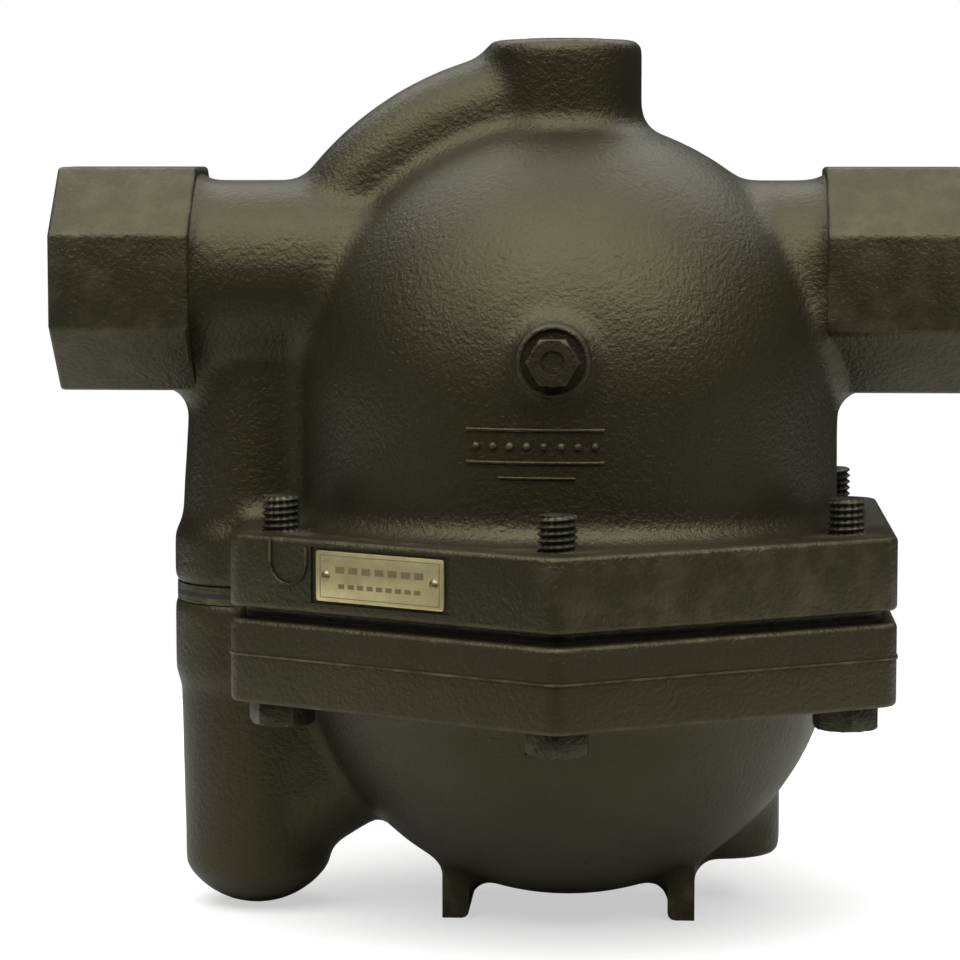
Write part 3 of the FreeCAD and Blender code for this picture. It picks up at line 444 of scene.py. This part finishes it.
def flat_block(along, depth, height, size):
    """A box on the plate's flat, given its middle on the flat, its front's depth and its size."""
    deselect()
    length, thickness, tall = size
    bpy.ops.mesh.primitive_cube_add(
        size=1, location=on_flat(along, depth + thickness / 2, height),
        scale=(length * MM, thickness * MM, tall * MM), rotation=(0, 0, FLAT_TURN))
    bpy.ops.object.transform_apply(location=True, rotation=True, scale=True)
    return bpy.context.object


combine(cover, "DIFFERENCE", [
    flat_block(PLATE_SHIFT, -1, PLATE_Z, (52.6, 2.2, 18)),
    rod(1.2, on_flat(PLATE_SHIFT - PIN_SHIFT, 0, PLATE_Z), 8, along=PLATE_IN, sides=24),
    rod(1.2, on_flat(PLATE_SHIFT + PIN_SHIFT, 0, PLATE_Z), 8, along=PLATE_IN, sides=24),
])


# Two plain raised lines with a row of pips between them, and a shorter line below, are cast on
# the front of the dome. A raised loop is cast on the flange beside the plate.
def dome_line(from_x, to_x, height, radius):
    """A raised line round the front of the dome."""
    start = at(from_x, -math.sqrt(DOME_R ** 2 - from_x ** 2), height)
    turn = math.degrees(math.asin(to_x / DOME_R) - math.asin(from_x / DOME_R))
    return arc_bar(radius, start, at(0, 0, height), UP, turn, 24)


def dome_pip(from_x, height):
    """A round pip on the front of the dome."""
    along = math.asin(from_x / DOME_R)
    middle = at(DOME_R * math.sin(along), -DOME_R * math.cos(along), height)
    return ball(1.3, middle, segments=16)


LOOP_X = -38
LOOP_Z = PLATE_Z + 3.5
LOOP_R = 7
combine(cover, "UNION", [
    dome_line(-29, 14, -43.6, 0.6),
    dome_line(-29, 14, -53.8, 0.6),
    dome_line(-19, 5, -58.6, 0.5),
    *[dome_pip(-26 + 5.3 * index, -48.7) for index in range(8)],
    arc_bar(0.4, on_flat(LOOP_X - LOOP_R, 0, LOOP_Z), on_flat(LOOP_X, 0, LOOP_Z), PLATE_IN, -180, 24),
    rod(0.4, on_flat(LOOP_X - LOOP_R, 0, LOOP_Z), 7, sides=16),
    rod(0.4, on_flat(LOOP_X + LOOP_R, 0, LOOP_Z), 5, sides=16),
])


def add(tree, kind, **values):
    """A shader node with its inputs set by name."""
    made = tree.nodes.new(kind)
    for name, value in values.items():
        made.inputs[name.replace("_", " ")].default_value = value
    return made


def ramp(tree, source, low, high, dark, light):
    """Values of the source from low to high run from dark to light."""
    made = tree.nodes.new("ShaderNodeMapRange")
    tree.links.new(source, made.inputs["Value"])
    made.inputs["From Min"].default_value = low
    made.inputs["From Max"].default_value = high
    made.inputs["To Min"].default_value = dark
    made.inputs["To Max"].default_value = light
    return made.outputs["Result"]


def mix(tree, amount, first, second):
    """A colour between two, each a colour or a socket, by an amount socket."""
    made = tree.nodes.new("ShaderNodeMix")
    made.data_type = "RGBA"
    tree.links.new(amount, made.inputs["Factor"])
    for socket, colour in ((made.inputs[6], first), (made.inputs[7], second)):
        if isinstance(colour, tuple):
            socket.default_value = (*colour, 1)
        else:
            tree.links.new(colour, socket)
    return made.outputs[2]


def bumped(tree, bsdf, layers):
    """Bump from several height sockets, each with its depth in metres."""
    previous = None
    for height, depth in layers:
        made = add(tree, "ShaderNodeBump", Strength=1, Distance=depth)
        tree.links.new(height, made.inputs["Height"])
        if previous:
            tree.links.new(previous, made.inputs["Normal"])
        previous = made.outputs["Normal"]
    tree.links.new(previous, bsdf.inputs["Normal"])


def iron(name, body, worn, rough):
    """Dark phosphated iron: sand grain and pits, lightly blotched, worn on its outer edges."""
    material, tree, bsdf = shader(name)
    place = tree.nodes.new("ShaderNodeTexCoord").outputs["Object"]
    noises = {}
    for label, scale, detail in (("blotch", 30, 5), ("grain", 1100, 3), ("sand", 620, 4), ("smear", 120, 6)):
        noise = add(tree, "ShaderNodeTexNoise", Scale=scale, Detail=detail, Roughness=0.6)
        tree.links.new(place, noise.inputs["Vector"])
        noises[label] = noise.outputs["Fac"]
    pits = add(tree, "ShaderNodeTexVoronoi", Scale=240)
    tree.links.new(place, pits.inputs["Vector"])
    pit = ramp(tree, pits.outputs["Distance"], 0.08, 0.3, 0, 1)
    edge = tree.nodes.new("ShaderNodeNewGeometry").outputs["Pointiness"]
    dark = tuple(0.72 * part for part in body)
    blotched = mix(tree, ramp(tree, noises["blotch"], 0.35, 0.65, 0, 1), dark, body)
    speckled = mix(tree, ramp(tree, noises["grain"], 0.4, 0.7, 0, 0.5), blotched, dark)
    scuffs = ramp(tree, noises["smear"], 0.45, 0.7, 0.15, 1)
    outer = ramp(tree, edge, 0.515, 0.58, 0, 0.6)
    wear = tree.nodes.new("ShaderNodeMath")
    wear.operation = "MULTIPLY"
    tree.links.new(scuffs, wear.inputs[0])
    tree.links.new(outer, wear.inputs[1])
    tree.links.new(mix(tree, wear.outputs["Value"], speckled, worn), bsdf.inputs["Base Color"])
    tree.links.new(ramp(tree, noises["blotch"], 0.3, 0.7, rough + 0.05, rough - 0.05),
                   bsdf.inputs["Roughness"])
    bsdf.inputs["Specular IOR Level"].default_value = 0.5
    bsdf.inputs["Specular Tint"].default_value = (1, 0.93, 0.55, 1)
    bumped(tree, bsdf, [(noises["sand"], 0.4 * MM), (noises["grain"], 0.16 * MM), (pit, 0.08 * MM)])
    return material


IRON = (0.021, 0.018, 0.0095)
WORN_IRON = (0.17, 0.155, 0.1)
cover_iron = iron("cover_iron", IRON, WORN_IRON, 0.36)


def finish_piece(piece, material, slot, *nodes, angle=40):
    """Material, smooth shading up to an angle, and the part's body and nodes. The slot is not used."""
    piece.data.materials.clear()
    piece.data.materials.append(material)
    select(piece)
    bpy.ops.object.shade_smooth_by_angle(angle=math.radians(angle))
    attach(piece, "trap")
    if nodes:
        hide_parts(*nodes)


finish_piece(cover, cover_iron, "cover_iron", "upper_body")

# ---- The bowl casting ----
# Sand-cast iron from the same foundry: a round bowl on two feet, the lower half of the side
# leg, the web between them, the drain boss behind and the lower flange.

BOWL_R = 89.9
BOWL_Z = -117.4
LOWER_TOP = -107.0
LOWER_BASE = -134.0
LEG_END = -213
LEG_END_R = 24.7
LEG_TIP_R = 29
LEG_BORE_END = -183
FOOT_SHIFT = 1.1
FOOT_X = 37.6
FOOT_HALF = 4.5
DRAIN_X = 53.6
DRAIN_Y = 20
DRAIN_Z = -198
FLASH_Z = -118.6
BOWL_FILLET = 3.5 * MM
SEAT_TILT = math.radians(32)
DOWN_SEAT = Vector((-math.cos(SEAT_TILT), 0, -math.sin(SEAT_TILT)))
SEAT_PAD = 68
SEAT_BOSS_R = 28
LINK_R = 22
LINK_LENGTH = -LEG_X / math.cos(SEAT_TILT)

half_bowl = ball(BOWL_R, at(0, 0, BOWL_Z))
combine(half_bowl, "DIFFERENCE", [rod(2 * BOWL_R, at(0, 0, BOWL_Z + 2), BOWL_R)])
leg_tip = rod(LEG_END_R, at(LEG_X, 0, LEG_END), 30)
combine(leg_tip, "INTERSECT", [ball(LEG_TIP_R, at(LEG_X, 0, LEG_END + LEG_TIP_R))])
leg = rod(LEG_END_R, at(LEG_X, 0, LEG_END + 20), LOWER_TOP - LEG_END - 20, end_radius=LEG_R)


def foot(side):
    """A rib under the bowl, its outer face upright and its inner lower edge cut back."""
    middle = FOOT_SHIFT + side * FOOT_X
    rib = block(at(middle - FOOT_HALF, -23, LEG_END), at(middle + FOOT_HALF, 23, -175))
    inner = CHAMBER_X + (middle - side * FOOT_HALF) * MM

    def inner_lower(a, b):
        low = a.z < (LEG_END + 1) * MM
        return level(a, b) and low and abs(a.x - inner) < FINE and abs(b.x - inner) < FINE

    bevel(rib, 2.6, 3, inner_lower)
    return rib


def towards_seat(start, side=0):
    """A point on the seat's axis, out from the bowl's centre, or beside that axis."""
    return at(0, side, BOWL_Z) + DOWN_SEAT * start * MM


drain_boss = rod(19, at(DRAIN_X, DRAIN_Y, DRAIN_Z), 45)
bevel(drain_boss, 2, 2, level)
bowl = cast("bowl_casting", [
    half_bowl, leg_tip, leg, foot(-1), foot(1), drain_boss,
    rod(BOWL_R, at(0, 0, BOWL_Z), LOWER_TOP - BOWL_Z, sides=128),
    hexagon(FLANGE_R - 2 * SHY, LOWER_BASE + SHY, LOWER_TOP - LOWER_BASE - 2 * SHY, CAST_RIM),
    rod(LOBE_R, at(LEG_X, 0, LOWER_BASE), LOWER_TOP - LOWER_BASE),
    rod(LINK_R, towards_seat(SEAT_PAD), LINK_LENGTH - SEAT_PAD, along=DOWN_SEAT),
    block(at(LEG_X, -WEB_HALF, -165), at(-70, WEB_HALF, LOWER_BASE + 2)),
], BOWL_FILLET)
combine(bowl, "UNION", [
    foot(-1), foot(1),
    hexagon(FLANGE_R - SHY, LOWER_BASE, LOWER_TOP - LOWER_BASE, CRISP_RIM),
    hexagon(FLANGE_R - FACE_MARGIN, LOWER_TOP - 1, FACE_HEIGHT, 0),
    rod(LOBE_FACE_R, at(LEG_X, 0, LOWER_TOP - 1), FACE_HEIGHT),
    hexagon(FLANGE_R - 0.02, FLASH_Z, 0.7, 0),
])
combine(bowl, "DIFFERENCE", [
    ball(BOWL_R - WALL, at(0, 0, BOWL_Z)),
    rod(BOWL_R - WALL, at(0, 0, BOWL_Z), 13, sides=128),
])
combine(bowl, "UNION", [rod(SEAT_BOSS_R, towards_seat(SEAT_PAD), 17, along=DOWN_SEAT)])
leg_bore = [
    rod(LEG_BORE_R, at(LEG_X, 0, LEG_BORE_END), 79),
    ball(LEG_BORE_R, at(LEG_X, 0, LEG_BORE_END), segments=64),
]
seat_bores = [
    rod(10.5, towards_seat(SEAT_PAD - 1), LINK_LENGTH - SEAT_PAD + 1, along=DOWN_SEAT),
    rod(12.05, towards_seat(SEAT_PAD - 1), 17, along=DOWN_SEAT),
]
drain_bores = [
    rod(7.5, at(DRAIN_X, DRAIN_Y, DRAIN_Z - 2), 45),
    rod(9.55, at(DRAIN_X, DRAIN_Y, DRAIN_Z - 2), 14),
]
screw_holes = [rod(6.9, place, 40, sides=48) for place in bolt_places(LOWER_BASE - 1)]
bracket_holes = [
    rod(3.05, towards_seat(SEAT_PAD - 1, side * 21), 14, along=DOWN_SEAT, sides=32)
    for side in (-1, 1)
]
combine(bowl, "DIFFERENCE", [*leg_bore, *seat_bores, *drain_bores, *screw_holes, *bracket_holes])
# The bowl's iron is the cover's colour made 1.15 times lighter: painted light for the light its lower,
# down-facing side catches.
bowl_iron = iron("bowl_iron", tuple(1.15 * part for part in IRON), WORN_IRON, 0.4)
finish_piece(bowl, bowl_iron, "bowl_iron", "lower_bowl")

# ---- The cap screws ----
# Six black steel 1/2 inch screws, put in from below, so that their rolled threads stand out
# over the cover's flange. Each head stops at its own angle.

SCREW_R = 6.3
THREAD_PITCH = 2.117
THREAD_DEPTH = 1.15
THREAD_TURNS = 9
SCREW_TOP = FLANGE_TOP + 11.4
SCREW_HEAD = 8.2
HEAD_CORNERS = 19.05 / 2 / math.cos(math.radians(30))
HEAD_TURNS = (10, 25, 5, -6, 29, -20)


def helix(crest, root, pitch, turns, base):
    """A closed screw thread about the Z axis of the origin."""
    deselect()
    bpy.ops.mesh.primitive_plane_add(size=MM)
    bpy.ops.object.mode_set(mode="EDIT")
    bpy.ops.mesh.select_mode(type="VERT")
    bpy.ops.mesh.select_all(action="SELECT")
    bpy.ops.mesh.merge(type="CENTER")
    bpy.ops.transform.translate(value=(root * MM, 0, base * MM))
    step_out = Vector(((crest - root) * MM, 0, pitch * MM / 2))
    step_in = Vector(((root - crest) * MM, 0, pitch * MM / 2))
    for step in (step_out, step_in):
        bpy.ops.mesh.extrude_region_move(TRANSFORM_OT_translate={"value": step})
    bpy.ops.object.mode_set(mode="OBJECT")
    thread = bpy.context.object
    apply(thread, "SCREW", axis="Z", angle=math.radians(360), screw_offset=pitch * MM,
          iterations=turns, steps=48, use_merge_vertices=True, merge_threshold=FINE)
    bpy.ops.object.mode_set(mode="EDIT")
    bpy.ops.mesh.select_all(action="SELECT")
    bpy.ops.mesh.remove_doubles(threshold=FINE)
    bpy.ops.mesh.fill_holes(sides=0)
    bpy.ops.mesh.select_all(action="SELECT")
    bpy.ops.mesh.normals_make_consistent(inside=False)
    bpy.ops.object.mode_set(mode="OBJECT")
    return thread


def exact(piece, operation, tool):
    """A boolean with one tool, for small pieces with faces in one plane."""
    apply(piece, "BOOLEAN", operation=operation, solver="EXACT", object=tool)
    bpy.data.objects.remove(tool)


def local(height):
    """A point on the world's upright axis, at a height from the pipe's centre line."""
    return Vector((0, 0, height * MM))


thread = helix(SCREW_R + 0.1, SCREW_R - THREAD_DEPTH, THREAD_PITCH, THREAD_TURNS, FLANGE_TOP - 3)
envelope = rod(SCREW_R, local(FLANGE_TOP - 1.5), SCREW_TOP - FLANGE_TOP + 1.5, sides=64)
bevel(envelope, 1.1, 2, lambda a, b: level(a, b) and a.z > SCREW_TOP * MM - FINE)
exact(thread, "INTERSECT", envelope)
shank = rod(SCREW_R - 0.3, local(LOWER_BASE - 1), FLANGE_TOP - LOWER_BASE, sides=48)
head = rod(HEAD_CORNERS, local(LOWER_BASE - SCREW_HEAD), SCREW_HEAD, sides=6, twist=30)
chamfer = rod(9.6, local(LOWER_BASE - SCREW_HEAD), SCREW_HEAD, end_radius=20, sides=64)
exact(head, "INTERSECT", chamfer)
bevel(head, 0.25, 2, every)
screw = joined("cap_screw", [thread, shank, head])
screws = []
for place, turn in zip(bolt_places(0), HEAD_TURNS):
    select(screw)
    bpy.ops.object.duplicate()
    copy = bpy.context.object
    copy.rotation_euler = (0, 0, math.radians(turn))
    copy.location = place
    bpy.ops.object.transform_apply(location=True, rotation=True, scale=True)
    screws.append(copy)
bpy.data.objects.remove(screw)
all_screws = joined("joint_screws", screws)
black_steel = iron("black_steel", (0.014, 0.012, 0.0075), (0.2, 0.19, 0.14), 0.34)
finish_piece(all_screws, black_steel, "black_steel", "cap_screws", angle=25)

# ---- The test plug ----
# A small forged hexagon-head plug in the front boss, with a shallow dimple in its face.

TEST_HEAD = 6
PLUG_CORNERS = 14.3 / 2 / math.cos(math.radians(30))


def from_boss(out):
    """A point on the test plug's axis, out from its boss."""
    return at(TEST_X, TEST_Y - out, TEST_Z)


plug = rod(PLUG_CORNERS, from_boss(0), TEST_HEAD, along=FRONT, sides=6, twist=30)
exact(plug, "INTERSECT", rod(20, from_boss(0), TEST_HEAD, along=FRONT, end_radius=7.0, sides=64))
bevel(plug, 0.3, 2, every)
dimple = rod(3.6, from_boss(TEST_HEAD - 0.8), 2, along=FRONT, end_radius=4.2, sides=48)
exact(plug, "DIFFERENCE", dimple)
plug_thread = rod(5.9, from_boss(1), 14, along=BACK, end_radius=5.2, sides=48)
plug = joined("front_plug", [plug, plug_thread])
plug_iron = iron("plug_iron", (0.026, 0.022, 0.013), WORN_IRON, 0.34)
finish_piece(plug, plug_iron, "plug_iron", "test_plug", angle=25)

# ---- The name plate and its drive screws ----
# A satin steel plate in the flange's pocket, with a raised border and two rows of plain raised
# bars, and a slotted, domed drive screw near each end.

PLATE_SIZE = (48.6, 0.8, 16)
plate = flat_block(PLATE_SHIFT, 0.4, PLATE_Z, PLATE_SIZE)
plate.name = "blank_plate"
bevel(plate, 1.0, 4, lambda a, b: level(a, b) and (a - b).length < MM)
bevel(plate, 0.15, 2, every)
combine(plate, "DIFFERENCE", [
    rod(1.25, on_flat(PLATE_SHIFT + side * PIN_SHIFT, 0, PLATE_Z), 3, along=PLATE_IN, sides=24)
    for side in (-1, 1)
])


def mark(along, height, length, tall):
    """A raised mark on the plate's face."""
    raised = flat_block(PLATE_SHIFT + along, 0.34, PLATE_Z + height, (length, 0.2, tall))
    bevel(raised, 0.04, 1, every)
    return raised


def row(count, pitch, height, length, tall):
    """Equal bars in a level row across the plate's middle."""
    first = -pitch * (count - 1) / 2
    return [mark(first + pitch * index, height, length, tall) for index in range(count)]


BORDER_X = 22.6
BORDER_Z = 6.7
LINE = 0.3
rule_marks = joined("rule_marks", [
    mark(0, BORDER_Z, 2 * BORDER_X, LINE),
    mark(0, -BORDER_Z, 2 * BORDER_X, LINE),
    mark(-BORDER_X, 0, LINE, 2 * BORDER_Z + LINE),
    mark(BORDER_X, 0, LINE, 2 * BORDER_Z + LINE),
    *row(7, 5, height=2.3, length=3.4, tall=2.2),
    *row(9, 3.6, height=-2.9, length=2.3, tall=1.5),
])


def steel(name, colour, rough, stretch, relief):
    """Satin steel: fine scratches drawn out along one way, with dull patches and worn edges."""
    material, tree, bsdf = shader(name)
    place = tree.nodes.new("ShaderNodeTexCoord").outputs["Object"]
    drawn = add(tree, "ShaderNodeMapping", Scale=stretch)
    tree.links.new(place, drawn.inputs["Vector"])
    lines = add(tree, "ShaderNodeTexNoise", Scale=700, Detail=4, Roughness=0.65)
    tree.links.new(drawn.outputs["Vector"], lines.inputs["Vector"])
    patches = add(tree, "ShaderNodeTexNoise", Scale=110, Detail=5, Roughness=0.6)
    tree.links.new(place, patches.inputs["Vector"])
    edge = tree.nodes.new("ShaderNodeNewGeometry").outputs["Pointiness"]
    dull = tuple(0.7 * part for part in colour)
    bright = tuple(min(1, 1.2 * part) for part in colour)
    patched = mix(tree, ramp(tree, patches.outputs["Fac"], 0.38, 0.66, 0, 1), colour, dull)
    worn = mix(tree, ramp(tree, edge, 0.52, 0.6, 0, 0.7), patched, bright)
    drawn_rough = ramp(tree, lines.outputs["Fac"], 0.3, 0.7, rough - 0.08, rough + 0.1)
    tree.links.new(worn, bsdf.inputs["Base Color"])
    tree.links.new(drawn_rough, bsdf.inputs["Roughness"])
    bsdf.inputs["Metallic"].default_value = 1
    bumped(tree, bsdf, [(lines.outputs["Fac"], relief * MM), (patches.outputs["Fac"], 0.05 * MM)])
    return material


plate_steel = steel("plate_steel", (0.68, 0.6, 0.32), 0.46, (1, 1, 8), 0.03)
# The border and bars are a darker steel than the plate: painted shade standing in for the shading of the
# raised lettering.
plate_mark_painted_shade = steel("plate_mark_painted_shade", (0.3, 0.262, 0.135), 0.5, (1, 1, 1), 0.03)
finish_piece(plate, plate_steel, "plate_steel", "name_plate", angle=30)
finish_piece(rule_marks, plate_mark_painted_shade, "plate_steel", angle=30)

pins = []
for side in (-1, 1):
    head_at = on_flat(PLATE_SHIFT + side * PIN_SHIFT, 0.4, PLATE_Z)
    dome_head = ball(2.4, head_at + PLATE_IN * 1.7 * MM, segments=32)
    combine(dome_head, "DIFFERENCE", [
        rod(4, head_at, 5, along=PLATE_IN, sides=32),
        flat_block(PLATE_SHIFT + side * PIN_SHIFT, -0.3, PLATE_Z, (5, 0.5, 0.6)),
    ])
    pins += [dome_head, rod(1.15, head_at - PLATE_IN * 0.1 * MM, 5, along=PLATE_IN, sides=24)]
drive_screws = joined("drive_screws", pins)
pin_steel = steel("pin_steel", (0.3, 0.27, 0.15), 0.4, (1, 1, 1), 0.04)
finish_piece(drive_screws, pin_steel, "plate_steel", "plate_pins", angle=35)

# ---- The pieces that keep their CAD shape ----
# The plugs, the joint sheet, and the float and vent mechanisms inside the castings.


def repaint(material, *names):
    """One material on each named piece, in place of the one it came with."""
    for name in names:
        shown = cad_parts[name]
        shown.data.materials.clear()
        shown.data.materials.append(material)


def sheet_gasket(name, colour, rough):
    """Pressed fibre and graphite: flecks and a soft felted relief."""
    material, tree, bsdf = shader(name)
    place = tree.nodes.new("ShaderNodeTexCoord").outputs["Object"]
    flecks = add(tree, "ShaderNodeTexNoise", Scale=1500, Detail=5, Roughness=0.7)
    tree.links.new(place, flecks.inputs["Vector"])
    felt = add(tree, "ShaderNodeTexNoise", Scale=300, Detail=3, Roughness=0.5)
    tree.links.new(place, felt.inputs["Vector"])
    pale = tuple(2.5 * part for part in colour)
    flecked = mix(tree, ramp(tree, flecks.outputs["Fac"], 0.5, 0.75, 0, 1), colour, pale)
    felted = ramp(tree, felt.outputs["Fac"], 0.3, 0.7, rough - 0.1, rough + 0.1)
    tree.links.new(flecked, bsdf.inputs["Base Color"])
    tree.links.new(felted, bsdf.inputs["Roughness"])
    bumped(tree, bsdf, [(felt.outputs["Fac"], 0.1 * MM), (flecks.outputs["Fac"], 0.05 * MM)])
    return material


repaint(plug_iron, "drain_plug", "vent_access_plug")
repaint(sheet_gasket("joint_sheet", (0.012, 0.012, 0.011), 0.7), "body_gasket")
repaint(steel("soft_metal", (0.42, 0.37, 0.27), 0.45, (1, 1, 1), 0.05),
        "main_seat_gasket", "vent_seat_gasket")
repaint(steel("hard_stainless", (0.5, 0.49, 0.46), 0.24, (1, 1, 6), 0.015),
        "main_seat", "valve_head", "vent_valve", "vent_seat")
repaint(steel("bright_steel", (0.52, 0.52, 0.5), 0.3, (1, 1, 5), 0.02),
        "valve_nut", "float_nut", "bracket_screws", "pivot_pin", "pivot_clips", "cage_ring")
repaint(steel("sheet_stainless", (0.47, 0.47, 0.45), 0.34, (6, 1, 1), 0.03),
        "float_lever", "mechanism_bracket", "vent_cage")
repaint(steel("float_stainless", (0.52, 0.51, 0.48), 0.26, (1, 6, 1), 0.02),
        "float_ball", "float_stud", "vent_capsule")
